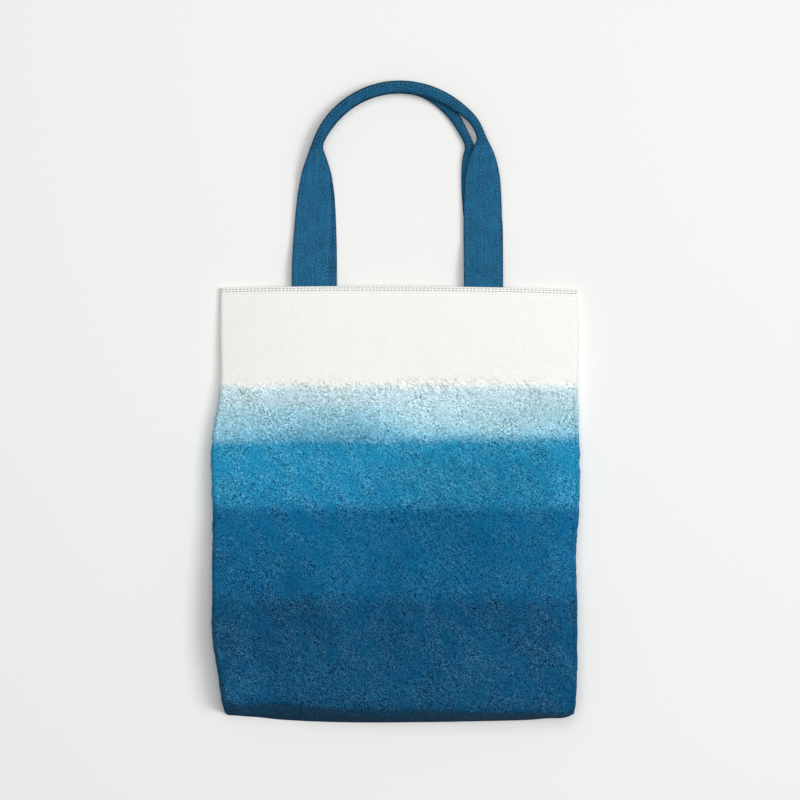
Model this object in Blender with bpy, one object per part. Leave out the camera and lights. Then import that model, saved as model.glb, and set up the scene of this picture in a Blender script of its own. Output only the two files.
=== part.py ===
"""A cloth tote bag that lies on its back, with its handles laid out in an arch above the mouth.

The bag is a hollow sack of one wall: back, front, both sides and a boxed base. The mouth is bound by a
hem. Each of the two handles is a flat strap whose ends are tucked into the mouth. Each strap narrows to
a neck and is rolled to a slim grip along the arch.

Units are metres. +Y points from the base to the handles and +Z points out of the front of the bag. The
underside of the back panel lies at z = 0, and the origin is below the middle of the whole outline.
"""

import math
from collections import namedtuple

import bmesh
import bpy
import numpy as np

# Overall sizes
BODY_LENGTH = 0.4035
BODY_WIDTH = 0.3430
HANDLE_RISE = 0.1925

# Cloth and seams
WALL = 0.0015
HEM_WALL = 0.0020
HEM_HEIGHT = 0.0072
GAP = 0.0003

# Depth of the bag, from its underside to its front
MOUTH_DEPTH = 0.0140
MOUTH_EDGE = 0.0052
BASE_DEPTH = 0.0430
BASE_EDGE = 0.0300
SIDE_ROUND = 0.0040

# Base panel, which leans out from the front fold to the floor
BASE_LEAN = 0.0165
BASE_BULGE = 0.0015
BASE_BOW = 0.0088
CORNER_DROP = 0.0050
FOLD_SKEW = 0.0019

# Rim of the mouth, which drops towards its ends
RIM_DROP = 0.0021
RIM_SKEW = 0.0007

# Handles
STRAP_WIDTH = 0.0370
STRAP_THICKNESS = 0.0024
STRAP_SPREAD = 0.0800
STRAP_TUCK = 0.0380
STRAP_SEAT = 0.0008
GRIP_WIDTH = 0.0115
GRIP_THICKNESS = 0.0075
ARCH_RADIUS = 0.0826
ARCH_SHIFT = 0.0042
NECK_LEFT_DEG = 160.0
NECK_RIGHT_DEG = 23.5

# Fineness of the surfaces
FRONT_COLUMNS = 31
SIDE_ROWS = 4
BODY_ROWS = 28
GRIP_SIDES = 12
STRAP_STATIONS = 14
ARCH_STATIONS = 24

# Places that follow from the sizes
TOTAL_LENGTH = BODY_LENGTH + HANDLE_RISE
BASE_Y = -TOTAL_LENGTH / 2
MOUTH_Y = BASE_Y + BODY_LENGTH
ARCH_TOP_Y = MOUTH_Y + HANDLE_RISE
FOLD_Y = BASE_Y + BASE_LEAN
ARCH_CENTRE_Y = ARCH_TOP_Y - GRIP_WIDTH / 2 - ARCH_RADIUS

# How square the front is across, how the base's lower edge bows towards its corners, and how square the
# sections of the strap and of the grip are
CROWN_POWER = 3.0
BOW_POWER = 2.6
CORNER_POWER = 24.0
STRAP_POWER = 0.35
GRIP_POWER = 0.80

# Stretches over which the soft folds fade in and out, down the front and towards its sides
FOLDS_BEGIN = (0.25, 0.45)
FOLDS_END = (0.94, 1.00)
FOLDS_SIDE = (0.80, 0.97)

# Stretches, from neck to mouth, over which the straps climb to their seats and take the front's slope,
# and how far the front strap's lift looks back to the thicker part of the strap below it
BACK_CLIMB = (0.70, 0.94)
FRONT_CLIMB = (0.60, 0.94)
ROLL_CLIMB = (0.72, 0.94)
LOOK_BACK = 0.12

# How much closer the stations of a strap lie near its neck
CROWDING = 1.3

# Colours of the dyed cloth, the undyed hem and the handles
BODY_COLOUR = (0.035, 0.20, 0.42)
HEM_COLOUR = (0.90, 0.90, 0.88)
HANDLE_COLOUR = (0.03, 0.12, 0.24)
CLOTH_ROUGHNESS = 0.85

# Sections of the sack: how far down from the mouth, the two half widths as shares of half the body's
# width, and how far the depth has grown from the mouth's to the base's
Section = namedtuple("Section", "down left right growth")
SECTIONS = (
    Section(0.00, 0.954, 0.989, 0.00),
    Section(0.10, 0.955, 0.995, 0.12),
    Section(0.27, 0.962, 0.990, 0.31),
    Section(0.32, 0.984, 0.995, 0.37),
    Section(0.41, 1.000, 1.000, 0.47),
    Section(0.51, 0.993, 0.996, 0.58),
    Section(0.62, 0.992, 0.979, 0.71),
    Section(0.74, 0.995, 0.984, 0.84),
    Section(0.84, 0.989, 0.984, 0.93),
    Section(0.90, 0.967, 0.983, 0.98),
    Section(0.98, 0.938, 0.973, 0.98),
    Section(1.00, 0.930, 0.966, 0.93),
)

# Soft folds of the front: where each lies as shares of half the width and of the length, its own length
# and width as shares of the body's width, its turn from the bag's length, and its height as a share of
# the base's depth
Fold = namedtuple("Fold", "across down length width turn_deg height")
FOLDS = (
    Fold(-0.55, 0.76, 0.14, 0.035, 34.0, -0.095),
    Fold(-0.40, 0.72, 0.18, 0.050, 30.0, 0.060),
    Fold(0.00, 0.66, 0.26, 0.045, 2.0, -0.050),
    Fold(0.34, 0.58, 0.20, 0.040, 42.0, -0.045),
    Fold(0.44, 0.53, 0.20, 0.050, 42.0, 0.040),
    Fold(-0.10, 0.50, 0.16, 0.045, 12.0, 0.035),
    Fold(0.62, 0.86, 0.16, 0.045, 60.0, -0.050),
    Fold(-0.05, 0.93, 0.24, 0.040, 84.0, -0.045),
    Fold(-0.86, 0.90, 0.14, 0.040, 20.0, 0.040),
)

# Straps from the neck down to the mouth: how far down, the widths of the left and the right strap as
# shares of the full width, and how much of the grip's thickness is left
Taper = namedtuple("Taper", "down left right rolled")
TAPERS = (
    Taper(0.00, 0.25, 0.22, 1.00),
    Taper(0.06, 0.41, 0.52, 0.76),
    Taper(0.12, 0.54, 0.70, 0.52),
    Taper(0.19, 0.72, 0.82, 0.30),
    Taper(0.26, 0.80, 0.89, 0.19),
    Taper(0.32, 0.87, 0.92, 0.12),
    Taper(0.41, 0.92, 0.95, 0.06),
    Taper(0.53, 0.96, 0.97, 0.02),
    Taper(0.74, 1.00, 0.98, 0.00),
    Taper(1.00, 1.00, 0.98, 0.00),
)

# Grip along the arch from the left neck to the right one: how far along, its width as a share of the
# grip's, and how far the back handle is pulled in, as a share of the arch's radius
Grip = namedtuple("Grip", "along width pull")
GRIPS = (
    Grip(0.00, 0.81, 0.000),
    Grip(0.10, 0.94, 0.000),
    Grip(0.30, 0.98, 0.000),
    Grip(0.50, 1.00, 0.000),
    Grip(0.62, 1.00, 0.006),
    Grip(0.73, 0.97, 0.050),
    Grip(0.82, 0.86, 0.092),
    Grip(0.91, 0.74, 0.128),
    Grip(1.00, 0.70, 0.160),
)

# The two handles: the places of their straps at the mouth as shares of the spread
Handle = namedtuple("Handle", "left_strap right_strap")
FRONT_HANDLE = Handle(-0.977, 1.023)
BACK_HANDLE = Handle(-0.915, 1.028)


def read_table(rows, column, where):
    """A smooth curve through one column of a table, whose first column holds the places of its rows."""
    table = np.array(rows, float)
    places = table[:, 0]
    values = table[:, rows[0]._fields.index(column)]
    slopes = np.gradient(values, places)
    where = np.clip(np.asarray(where, float), places[0], places[-1])
    low = np.clip(np.searchsorted(places, where, side="right") - 1, 0, len(places) - 2)
    step = places[low + 1] - places[low]
    t = (where - places[low]) / step
    start = (1 + 2 * t) * (1 - t) ** 2 * values[low] + t * (1 - t) ** 2 * step * slopes[low]
    end = t * t * (3 - 2 * t) * values[low + 1] + t * t * (t - 1) * step * slopes[low + 1]
    return start + end


def ease(start, end, where):
    """Runs smoothly from 0 at the start to 1 at the end."""
    t = np.clip((where - start) / (end - start), 0.0, 1.0)
    return t * t * (3 - 2 * t)


def half_width(side, down):
    """Half the width of the sack on one side, side being -1 for left and 1 for right."""
    column = "left" if side < 0 else "right"
    return BODY_WIDTH / 2 * read_table(SECTIONS, column, down)


def share_across(x, down):
    """A place across the sack as a share of the half width on its side, from -1 to 1."""
    return np.where(x < 0, x / half_width(-1, down), x / half_width(1, down))


def fold_height(x, down):
    """Height that the soft folds add to the front: a sum of long round-ended ridges and valleys."""
    height = np.zeros(np.broadcast(x, down).shape)
    for fold in FOLDS:
        turn = math.radians(fold.turn_deg)
        right = x - fold.across * BODY_WIDTH / 2
        below = (down - fold.down) * BODY_LENGTH
        along = (below * math.cos(turn) + right * math.sin(turn)) / (fold.length * BODY_WIDTH)
        across = (right * math.cos(turn) - below * math.sin(turn)) / (fold.width * BODY_WIDTH)
        height = height + fold.height * BASE_DEPTH * np.exp(-along ** 2 * 2 - across ** 2)
    return height * ease(*FOLDS_BEGIN, down) * (1 - ease(*FOLDS_END, down))


def front_z(x, down):
    """Height of the outer face of the front: an edge height plus a square-shouldered crown."""
    growth = read_table(SECTIONS, "growth", down)
    edge = MOUTH_EDGE + (BASE_EDGE - MOUTH_EDGE) * growth
    crown = MOUTH_DEPTH + (BASE_DEPTH - MOUTH_DEPTH) * growth
    share = np.abs(share_across(x, down))
    inside = 1 - ease(*FOLDS_SIDE, share)
    return edge + (crown - edge) * (1 - share ** CROWN_POWER) + fold_height(x, down) * inside


def rim_y(share):
    """The rim of the mouth, a little lower at its ends and most at the right."""
    return MOUTH_Y - RIM_DROP * share ** 2 - RIM_SKEW * share


def fold_y(share):
    """The fold between the front and the base, which is straight and a little askew."""
    return FOLD_Y - FOLD_SKEW * share


def floor_edge_y(share):
    """The base's lower edge, which bows out in the middle and is rounded at its corners."""
    drop = BASE_BOW * np.abs(share) ** BOW_POWER + CORNER_DROP * np.abs(share) ** CORNER_POWER
    return BASE_Y + drop


def wall_y(share, down, rise, inset):
    """Place along the bag of a point of the wall, whose rise is 0 on the back and 1 on the front."""
    end = floor_edge_y(share) + (fold_y(share) - floor_edge_y(share)) * rise + inset
    return rim_y(share) + (end - rim_y(share)) * down


def ring(down, inset):
    """One section of the sack: front, right side, back and left side, inset from the outer face."""
    spread = np.linspace(-1, 1, FRONT_COLUMNS)
    spread = 0.65 * spread + 0.35 * np.sin(spread * math.pi / 2)
    left = half_width(-1, down)
    right = half_width(1, down)
    x = np.where(spread < 0, spread * (left - SIDE_ROUND), spread * (right - SIDE_ROUND))
    share = share_across(x, down)
    front = np.stack([x, wall_y(share, down, 1.0, inset), front_z(x, down) - inset], axis=1)
    back = np.stack([x, wall_y(share, down, 0.0, inset), np.full_like(x, inset)], axis=1)
    turn = np.linspace(math.pi / 2, -math.pi / 2, SIDE_ROWS + 2)[1:-1]
    rise = (1 + np.sin(turn)) / 2
    reach = (SIDE_ROUND - inset) * np.cos(turn)
    sides = []
    for sign, end in ((1, -1), (-1, 0)):
        top = front_z(x[end], down)
        side_x = x[end] + sign * reach
        side_z = top / 2 + (top / 2 - inset) * np.sin(turn)
        side_y = wall_y(share_across(side_x, down), down, rise, inset)
        sides.append(np.stack([side_x, side_y, side_z], axis=1))
    return np.concatenate([front, sides[0], back[::-1], sides[1][::-1]])


def base_rows(inset):
    """The rows inside the base panel, between the front fold and the floor edge of the last section."""
    last = ring(1.0, inset)
    front = last[:FRONT_COLUMNS]
    right = last[FRONT_COLUMNS : FRONT_COLUMNS + SIDE_ROWS]
    back = last[FRONT_COLUMNS + SIDE_ROWS : 2 * FRONT_COLUMNS + SIDE_ROWS][::-1]
    left = last[2 * FRONT_COLUMNS + SIDE_ROWS :][::-1]
    share = share_across(front[:, 0], 1.0)
    rows = []
    for step in range(SIDE_ROWS):
        turn = math.pi / 2 - math.pi * (step + 1) / (SIDE_ROWS + 1)
        rise = (1 + math.sin(turn)) / 2
        row = back + (front - back) * rise
        row[:, 1] -= BASE_BULGE * 4 * rise * (1 - rise) * (1 - share ** 2)
        rows.append(np.concatenate([left[step : step + 1], row[1:-1], right[step : step + 1]]))
    return rows


def make_object(name, points, faces, colour):
    """A closed mesh object with its faces turned outwards and a material of its own."""
    mesh = bpy.data.meshes.new(name)
    mesh.from_pydata([tuple(point) for point in points], [], faces)
    shell = bmesh.new()
    shell.from_mesh(mesh)
    bmesh.ops.remove_doubles(shell, verts=shell.verts, dist=1e-6)
    bmesh.ops.triangulate(shell, faces=shell.faces)
    bmesh.ops.recalc_face_normals(shell, faces=shell.faces)
    shell.to_mesh(mesh)
    shell.free()
    mesh.shade_smooth()
    mesh.set_sharp_from_angle(angle=math.radians(50))
    material = bpy.data.materials.new(name)
    material.use_nodes = True
    shader = material.node_tree.nodes["Principled BSDF"]
    shader.inputs["Base Color"].default_value = (*colour, 1.0)
    shader.inputs["Roughness"].default_value = CLOTH_ROUGHNESS
    shader.inputs["Metallic"].default_value = 0.0
    mesh.materials.append(material)
    made = bpy.data.objects.new(name, mesh)
    bpy.context.scene.collection.objects.link(made)
    return made


def bridge(first, second, count):
    """Quads between two rings of as many points, given the number of each ring's first point."""
    return [
        (first + i, first + (i + 1) % count, second + (i + 1) % count, second + i)
        for i in range(count)
    ]


def base_faces(ring_start, rows_start):
    """Quads of the base panel between the last ring and the rows inside it."""
    size = FRONT_COLUMNS
    count = 2 * size + 2 * SIDE_ROWS
    grid = [[ring_start + i for i in range(size)]]
    for step in range(SIDE_ROWS):
        inner = [rows_start + step * size + i for i in range(1, size - 1)]
        left = ring_start + count - 1 - step
        right = ring_start + size + step
        grid.append([left, *inner, right])
    floor = ring_start + size + SIDE_ROWS
    grid.append([floor + size - 1 - i for i in range(size)])
    return [
        (grid[j][i], grid[j][i + 1], grid[j + 1][i + 1], grid[j + 1][i])
        for j in range(SIDE_ROWS + 1)
        for i in range(size - 1)
    ]


def drop_unused(points, faces):
    """Leaves out points that no face uses and numbers the rest anew."""
    used = sorted({index for face in faces for index in face})
    renumbered = {old: new for new, old in enumerate(used)}
    return points[used], [tuple(renumbered[index] for index in face) for face in faces]


def make_body():
    """The sack: an outer and an inner skin, joined at the mouth and closed at the base."""
    top = (HEM_HEIGHT + GAP) / BODY_LENGTH
    downs = np.linspace(top, 1, BODY_ROWS)
    count = 2 * FRONT_COLUMNS + 2 * SIDE_ROWS
    points = []
    faces = []
    for inset in (0.0, WALL):
        start = sum(len(block) for block in points)
        points += [ring(down, inset) for down in downs]
        for row in range(BODY_ROWS - 1):
            faces += bridge(start + row * count, start + (row + 1) * count, count)
        rows_start = start + BODY_ROWS * count
        points += base_rows(inset)
        faces += base_faces(start + (BODY_ROWS - 1) * count, rows_start)
    inner_start = BODY_ROWS * count + SIDE_ROWS * FRONT_COLUMNS
    faces += bridge(0, inner_start, count)
    points, faces = drop_unused(np.concatenate(points), faces)
    return make_object("bag_body", points, faces, BODY_COLOUR)


def make_hem():
    """The turned band round the mouth: a ring twice as strong as the wall, above the sack's edge."""
    downs = (0.0, HEM_HEIGHT / BODY_LENGTH)
    count = 2 * FRONT_COLUMNS + 2 * SIDE_ROWS
    corners = ((downs[0], 0.0), (downs[1], 0.0), (downs[1], HEM_WALL), (downs[0], HEM_WALL))
    rings = [ring(down, inset) for down, inset in corners]
    faces = []
    for step in range(4):
        faces += bridge(step * count, (step + 1) % 4 * count, count)
    return make_object("mouth_hem", np.concatenate(rings), faces, HEM_COLOUR)


def down_share(x, y):
    """How far down the front a point lies, from 0 at the rim to 1 at the fold."""
    share = share_across(x, 0.0)
    return np.clip((rim_y(share) - y) / (rim_y(share) - fold_y(share)), 0.0, 1.0)


def strap_lift(is_front, x, y, down, thickness):
    """Height of a strap's underside between its neck, its place at the mouth and its tucked end."""
    back_seat = HEM_WALL + GAP
    back_lift = back_seat * ease(*BACK_CLIMB, down)
    if not is_front:
        return back_lift
    rolled = read_table(TAPERS, "rolled", down - LOOK_BACK)
    stack = back_lift + STRAP_THICKNESS + (GRIP_THICKNESS - STRAP_THICKNESS) * rolled + GAP
    front_seat = front_z(x, down_share(x, y)) - HEM_WALL - STRAP_SEAT - thickness
    return stack + (front_seat - stack) * ease(*FRONT_CLIMB, down)


def strap_stations(is_front, side, neck, strap_x):
    """Centre points and sizes of one strap, from its neck to its tucked end inside the mouth."""
    drop = neck[1] - MOUTH_Y
    column = "left" if side < 0 else "right"
    y = neck[1] - np.linspace(0, 1, STRAP_STATIONS + 1)[1:] ** CROWDING * (drop + STRAP_TUCK)
    down = (neck[1] - y) / drop
    x = neck[0] + (strap_x - neck[0]) * ease(0.0, 1.0, down)
    width = STRAP_WIDTH * read_table(TAPERS, column, down)
    rolled = read_table(TAPERS, "rolled", down)
    thickness = STRAP_THICKNESS + (GRIP_THICKNESS - STRAP_THICKNESS) * rolled
    lift = strap_lift(is_front, x, y, down, thickness)
    step = STRAP_WIDTH / 4
    slope = (front_z(x + step, down_share(x, y)) - front_z(x - step, down_share(x, y))) / (2 * step)
    roll = slope * ease(*ROLL_CLIMB, down) * is_front
    return np.stack([x, y, lift, width, thickness, roll], axis=1)


def arch_stations(is_front):
    """Centre points and sizes of the grip, along an arc whose radius shrinks where it is pulled in."""
    along = np.linspace(0, 1, ARCH_STATIONS)
    angle = np.radians(NECK_LEFT_DEG + (NECK_RIGHT_DEG - NECK_LEFT_DEG) * along)
    pull = read_table(GRIPS, "pull", along) * (not is_front)
    radius = ARCH_RADIUS * (1 - pull)
    x = ARCH_SHIFT + radius * np.cos(angle)
    y = ARCH_CENTRE_Y + radius * np.sin(angle)
    lift = np.full_like(x, (GRIP_THICKNESS + GAP) * is_front)
    width = GRIP_WIDTH * read_table(GRIPS, "width", along)
    thickness = np.full_like(x, GRIP_THICKNESS)
    return np.stack([x, y, lift, width, thickness, np.zeros_like(x)], axis=1)


def handle_stations(handle, is_front):
    """All stations of a handle, from the left tucked end over the arch to the right one."""
    arch = arch_stations(is_front)
    left = strap_stations(is_front, -1, arch[0, :2], handle.left_strap * STRAP_SPREAD)
    right = strap_stations(is_front, 1, arch[-1, :2], handle.right_strap * STRAP_SPREAD)
    return np.concatenate([left[::-1], arch, right])


def make_handle(name, handle, is_front):
    """A strap swept along its stations, each a rounded section that stands on its lift."""
    stations = handle_stations(handle, is_front)
    x, y, lift, width, thickness, roll = stations.T
    tangent = np.stack([np.gradient(x), np.gradient(y)], axis=1)
    tangent /= np.linalg.norm(tangent, axis=1, keepdims=True)
    turn = (np.arange(GRIP_SIDES) + 0.5) * 2 * math.pi / GRIP_SIDES
    flat = ease(0.0, 1.0, (width - GRIP_WIDTH) / (STRAP_WIDTH - GRIP_WIDTH))
    power = (GRIP_POWER + (STRAP_POWER - GRIP_POWER) * flat)[:, None]
    across = np.sign(np.cos(turn)) * np.abs(np.cos(turn)) ** power
    up = np.sign(np.sin(turn)) * np.abs(np.sin(turn)) ** power
    across = across / np.abs(across).max(axis=1, keepdims=True) * width[:, None] / 2
    up = (1 + up / np.abs(up).max(axis=1, keepdims=True)) * thickness[:, None] / 2
    side = np.stack([-tangent[:, 1], tangent[:, 0]], axis=1)
    ring_x = x[:, None] + side[:, :1] * across
    ring_y = y[:, None] + side[:, 1:] * across
    ring_z = lift[:, None] + up + roll[:, None] * (ring_x - x[:, None])
    points = np.stack([ring_x, ring_y, ring_z], axis=2).reshape(-1, 3)
    faces = [tuple(range(GRIP_SIDES))]
    for step in range(len(stations) - 1):
        faces += bridge(step * GRIP_SIDES, (step + 1) * GRIP_SIDES, GRIP_SIDES)
    faces.append(tuple(range((len(stations) - 1) * GRIP_SIDES, len(stations) * GRIP_SIDES)))
    return make_object(name, points, faces, HANDLE_COLOUR)


def main():
    for old in list(bpy.data.objects):
        bpy.data.objects.remove(old)
    make_body()
    make_hem()
    make_handle("handle_front", FRONT_HANDLE, True)
    make_handle("handle_back", BACK_HANDLE, False)


main()
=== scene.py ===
"""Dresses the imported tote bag: crinkled step-dyed cloth, a stitched hem and stitched strap handles.

The surfaces are worked out with numpy from the same sizes and tables as the solids, on finer grids. The
whole object lies in the frame's own metres: +Y runs from the base to the handles and +Z out of the front.
"""

import itertools
import math
from collections import namedtuple

import bmesh
import bpy
import numpy as np
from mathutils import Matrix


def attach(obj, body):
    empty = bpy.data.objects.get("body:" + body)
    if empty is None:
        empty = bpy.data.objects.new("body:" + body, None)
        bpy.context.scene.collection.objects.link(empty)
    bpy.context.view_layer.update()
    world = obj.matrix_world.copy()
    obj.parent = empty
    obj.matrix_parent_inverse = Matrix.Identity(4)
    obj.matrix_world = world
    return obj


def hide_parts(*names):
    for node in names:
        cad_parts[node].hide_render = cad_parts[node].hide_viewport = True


bl_info = {
    "name": "Dyed tote bag",
    "version": (1, 0, 0),
    "blender": (4, 5, 0),
    "location": "View3D > Sidebar > Tote bag",
    "description": "Makes a step-dyed cloth tote bag with stitched hem and handles on its packed solids",
    "category": "Add Mesh",
}

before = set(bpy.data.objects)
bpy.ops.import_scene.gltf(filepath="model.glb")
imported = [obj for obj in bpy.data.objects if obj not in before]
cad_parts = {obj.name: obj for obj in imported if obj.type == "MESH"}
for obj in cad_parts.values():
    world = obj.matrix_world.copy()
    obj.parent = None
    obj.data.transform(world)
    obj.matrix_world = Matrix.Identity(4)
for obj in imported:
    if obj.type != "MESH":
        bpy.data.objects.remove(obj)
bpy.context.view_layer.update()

# Sizes of the solids
BODY_LENGTH = 0.4035
BODY_WIDTH = 0.3430
HANDLE_RISE = 0.1925
WALL = 0.0015
HEM_WALL = 0.0020
HEM_HEIGHT = 0.0072
GAP = 0.0003
MOUTH_DEPTH = 0.0140
MOUTH_EDGE = 0.0052
BASE_DEPTH = 0.0430
BASE_EDGE = 0.0300
SIDE_ROUND = 0.0040
BASE_LEAN = 0.0165
BASE_BULGE = 0.0015
BASE_BOW = 0.0088
CORNER_DROP = 0.0050
FOLD_SKEW = 0.0019
RIM_DROP = 0.0021
RIM_SKEW = 0.0007
RIM_LIFT = 0.0011
STRAP_WIDTH = 0.0370
STRAP_THICKNESS = 0.0024
STRAP_SPREAD = 0.0800
STRAP_TUCK = 0.0380
STRAP_SEAT = 0.0008
GRIP_WIDTH = 0.0115
GRIP_THICKNESS = 0.0075
ARCH_RADIUS = 0.0826
ARCH_SHIFT = 0.0042
NECK_LEFT_DEG = 160.0
NECK_RIGHT_DEG = 23.5

# Places and powers that follow from them
BASE_Y = -(BODY_LENGTH + HANDLE_RISE) / 2
MOUTH_Y = BASE_Y + BODY_LENGTH
FOLD_Y = BASE_Y + BASE_LEAN
ARCH_CENTRE_Y = MOUTH_Y + HANDLE_RISE - GRIP_WIDTH / 2 - ARCH_RADIUS
CROWN_POWER = 3.0
BOW_POWER = 2.6
CORNER_POWER = 24.0
STRAP_POWER = 0.35
GRIP_POWER = 0.80
FOLDS_BEGIN = (0.25, 0.45)
FOLDS_END = (0.94, 1.00)
FOLDS_SIDE = (0.80, 0.97)
BACK_CLIMB = (0.70, 0.94)
FRONT_CLIMB = (0.60, 0.94)
ROLL_CLIMB = (0.72, 0.94)
LOOK_BACK = 0.12
CROWDING = 1.3

# Fineness of the grids
PANEL_COLUMNS = 172
SIDE_POINTS = 8
CLOTH_ROWS = 196
LINING_ROWS = 36
STRAP_STATIONS = 60
ARCH_STATIONS = 90
STATION_STEP = 0.0020
STATION_BLUR = 0.0040

# Sections of the sack: how far down from the mouth, the two half widths as shares of half the body's
# width, and how far the depth has grown from the mouth's to the base's
Section = namedtuple("Section", "down left right growth")
SECTIONS = (
    Section(0.00, 0.954, 0.989, 0.00),
    Section(0.10, 0.955, 0.995, 0.12),
    Section(0.27, 0.962, 0.990, 0.31),
    Section(0.32, 0.984, 0.995, 0.37),
    Section(0.41, 1.000, 1.000, 0.47),
    Section(0.51, 0.993, 0.996, 0.58),
    Section(0.62, 0.992, 0.979, 0.71),
    Section(0.74, 0.995, 0.984, 0.84),
    Section(0.84, 0.989, 0.984, 0.93),
    Section(0.90, 0.967, 0.983, 0.98),
    Section(0.98, 0.938, 0.973, 0.98),
    Section(1.00, 0.930, 0.966, 0.93),
)

# How far the cloth sags past the plain shape of the base, by place across: its fold and its floor edge
Sag = namedtuple("Sag", "across fold floor")
SAGS = (
    Sag(-1.00, 0.0014, 0.0085),
    Sag(-0.95, 0.0022, 0.0050),
    Sag(-0.86, 0.0010, 0.0030),
    Sag(-0.67, -0.0012, 0.0029),
    Sag(-0.40, 0.0020, 0.0027),
    Sag(-0.10, 0.0034, 0.0025),
    Sag(0.20, 0.0032, 0.0022),
    Sag(0.50, 0.0048, 0.0026),
    Sag(0.75, 0.0050, 0.0042),
    Sag(0.88, 0.0056, 0.0050),
    Sag(0.95, 0.0062, 0.0072),
    Sag(1.00, 0.0064, 0.0084),
)

# Soft folds of the front: where each lies as shares of half the width and of the length, its own length
# and width as shares of the body's width, its turn from the bag's length, and its height as a share of
# the base's depth
Fold = namedtuple("Fold", "across down length width turn_deg height")
FOLDS = (
    Fold(-0.55, 0.76, 0.14, 0.035, 34.0, -0.095),
    Fold(-0.40, 0.72, 0.18, 0.050, 30.0, 0.060),
    Fold(0.00, 0.66, 0.26, 0.045, 2.0, -0.050),
    Fold(0.34, 0.58, 0.20, 0.040, 42.0, -0.045),
    Fold(0.44, 0.53, 0.20, 0.050, 42.0, 0.040),
    Fold(-0.10, 0.50, 0.16, 0.045, 12.0, 0.035),
    Fold(0.62, 0.86, 0.16, 0.045, 60.0, -0.050),
    Fold(-0.05, 0.93, 0.24, 0.040, 84.0, -0.045),
    Fold(-0.86, 0.90, 0.14, 0.040, 20.0, 0.040),
)

# Straps from the neck down to the mouth: how far down, the widths of the left and the right strap as
# shares of the full width, and how much of the grip's thickness is left
Taper = namedtuple("Taper", "down left right rolled")
TAPERS = (
    Taper(0.00, 0.25, 0.22, 1.00),
    Taper(0.06, 0.43, 0.50, 0.76),
    Taper(0.12, 0.56, 0.67, 0.52),
    Taper(0.19, 0.73, 0.80, 0.30),
    Taper(0.26, 0.80, 0.89, 0.19),
    Taper(0.32, 0.87, 0.92, 0.12),
    Taper(0.41, 0.92, 0.95, 0.06),
    Taper(0.53, 0.96, 0.97, 0.02),
    Taper(0.74, 1.00, 0.98, 0.00),
    Taper(1.00, 1.00, 0.98, 0.00),
)

# Grip along the arch from the left neck to the right one: how far along, its width as a share of the
# grip's, and how far the back handle is pulled in and the front one out, as shares of the arch's radius
Grip = namedtuple("Grip", "along width pull push")
GRIPS = (
    Grip(0.00, 0.81, 0.000, 0.000),
    Grip(0.10, 0.94, 0.000, 0.000),
    Grip(0.30, 0.98, 0.000, 0.000),
    Grip(0.50, 1.00, 0.000, 0.000),
    Grip(0.62, 1.00, 0.006, 0.000),
    Grip(0.73, 0.97, 0.050, 0.004),
    Grip(0.82, 0.86, 0.092, 0.016),
    Grip(0.91, 0.74, 0.128, 0.034),
    Grip(1.00, 0.70, 0.140, 0.012),
)

# The back handle's right strap: how far down it has swung over to its place at the mouth, and how
# narrow it stays below its neck
BACK_SETTLED = 0.60
BACK_SLIM = 0.72

# The two handles: the places of their straps at the mouth as shares of the spread
Handle = namedtuple("Handle", "left_strap right_strap")
FRONT_HANDLE = Handle(-0.977, 1.023)
BACK_HANDLE = Handle(-0.915, 1.028)

# Crinkles of the cloth, from coarse to fine: the size of their net, its height, and its seed
Crinkle = namedtuple("Crinkle", "cell height seed")
CRINKLES = (
    Crinkle(0.0260, 0.00060, 3),
    Crinkle(0.0110, 0.00042, 11),
    Crinkle(0.0060, 0.00030, 27),
)
CRINKLE_STRETCH = 1.9

# Dye steps: how far down the cloth, and the colour there in ordinary 0 to 255 screen values
Dye = namedtuple("Dye", "down red green blue")
DYES = (
    Dye(0.0000, 246, 247, 244),
    Dye(0.2206, 244, 246, 242),
    Dye(0.2390, 188, 216, 224),
    Dye(0.2643, 179, 209, 219),
    Dye(0.2989, 157, 200, 214),
    Dye(0.3289, 124, 187, 211),
    Dye(0.3612, 23, 135, 178),
    Dye(0.4920, 13, 121, 167),
    Dye(0.5200, 5, 94, 139),
    Dye(0.6980, 5, 88, 132),
    Dye(0.7300, 4, 73, 113),
    Dye(1.0000, 3, 71, 110),
)

# How far the dye lags behind its table at four depths, by place across: the pale top of the light zone,
# its middle, its darker foot and the step to the middle blue
Lag = namedtuple("Lag", "across top middle foot step")
LAG_DEPTHS = (0.236, 0.250, 0.285, 0.326, 0.352, 0.372)
LAGS = (
    Lag(-1.00, 0.004, -0.010, 0.008, 0.0110),
    Lag(-0.85, 0.002, -0.015, 0.006, 0.0095),
    Lag(-0.60, 0.002, -0.020, -0.006, 0.0010),
    Lag(-0.30, 0.008, -0.021, -0.009, 0.0000),
    Lag(-0.06, 0.010, -0.017, -0.008, 0.0000),
    Lag(0.06, 0.008, -0.002, 0.008, 0.0010),
    Lag(0.30, 0.002, 0.002, 0.018, 0.0000),
    Lag(0.60, 0.002, 0.000, 0.018, 0.0000),
    Lag(0.85, 0.000, -0.006, 0.010, -0.0030),
    Lag(1.00, -0.004, -0.010, 0.002, -0.0060),
)

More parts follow.
